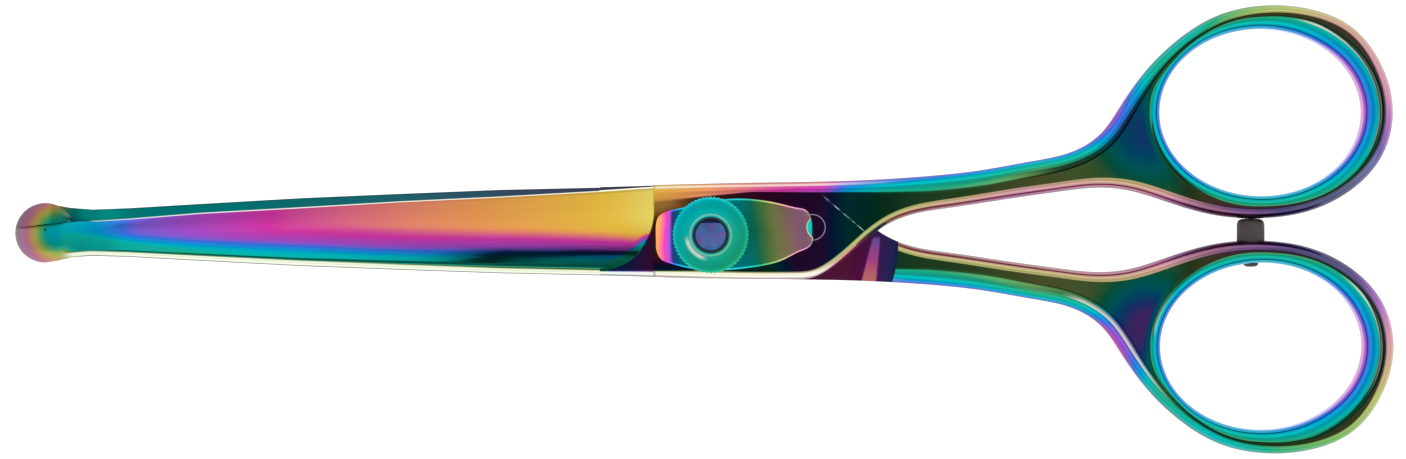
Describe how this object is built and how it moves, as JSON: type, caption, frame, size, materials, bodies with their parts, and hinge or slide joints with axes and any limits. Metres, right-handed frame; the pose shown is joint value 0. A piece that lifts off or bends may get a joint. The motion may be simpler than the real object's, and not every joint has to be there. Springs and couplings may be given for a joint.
{
  "type": "thinning shears",
  "caption": "Hairdressing thinning shears: a plain cutting blade over a toothed comb blade, ball-ended tips, two finger rings, knurled tension nut over a leaf spring, rubber stop.",
  "frame": {"origin": "on the pivot axis, in the plane the shears rest on", "axes": "+X from the pivot towards the finger rings, +Y towards the upper blade's ring, +Z out of the side that carries the tension nut"},
  "size_m": [0.1782, 0.058, 0.0086],
  "materials": {
    "coated_steel": "mirror polish under a rainbow interference coating",
    "screw_steel": "turned, violet interference coating",
    "spring_steel": "polished, rainbow interference coating",
    "nut_steel": "satin, teal interference coating",
    "bush_nylon": "natural nylon",
    "ring_nylon": "black nylon",
    "bumper_rubber": "moulded rubber"
  },
  "bodies": {
    "lower_half": {"comb_blade": "coated_steel", "rear_handle": "coated_steel", "pivot_bush": "bush_nylon", "rubber_bumper": "bumper_rubber"},
    "upper_half": {"front_blade": "coated_steel", "front_handle": "coated_steel", "pivot_screw": "screw_steel", "leaf_spring": "spring_steel"},
    "nut": {"tension_nut": "nut_steel", "nut_lock_ring": "ring_nylon"}
  },
  "joints": [
    {"name": "blade_pivot", "type": "hinge", "parent": "lower_half", "child": "upper_half", "pos_m": [0, 0, 0], "axis": [0, 0, 1], "range_deg": [0, 90]},
    {"name": "nut_turn", "type": "hinge", "parent": "upper_half", "child": "nut", "pos_m": [0, 0, 0], "axis": [0, 0, 1], "range_deg": [-180, 180]}
  ]
}
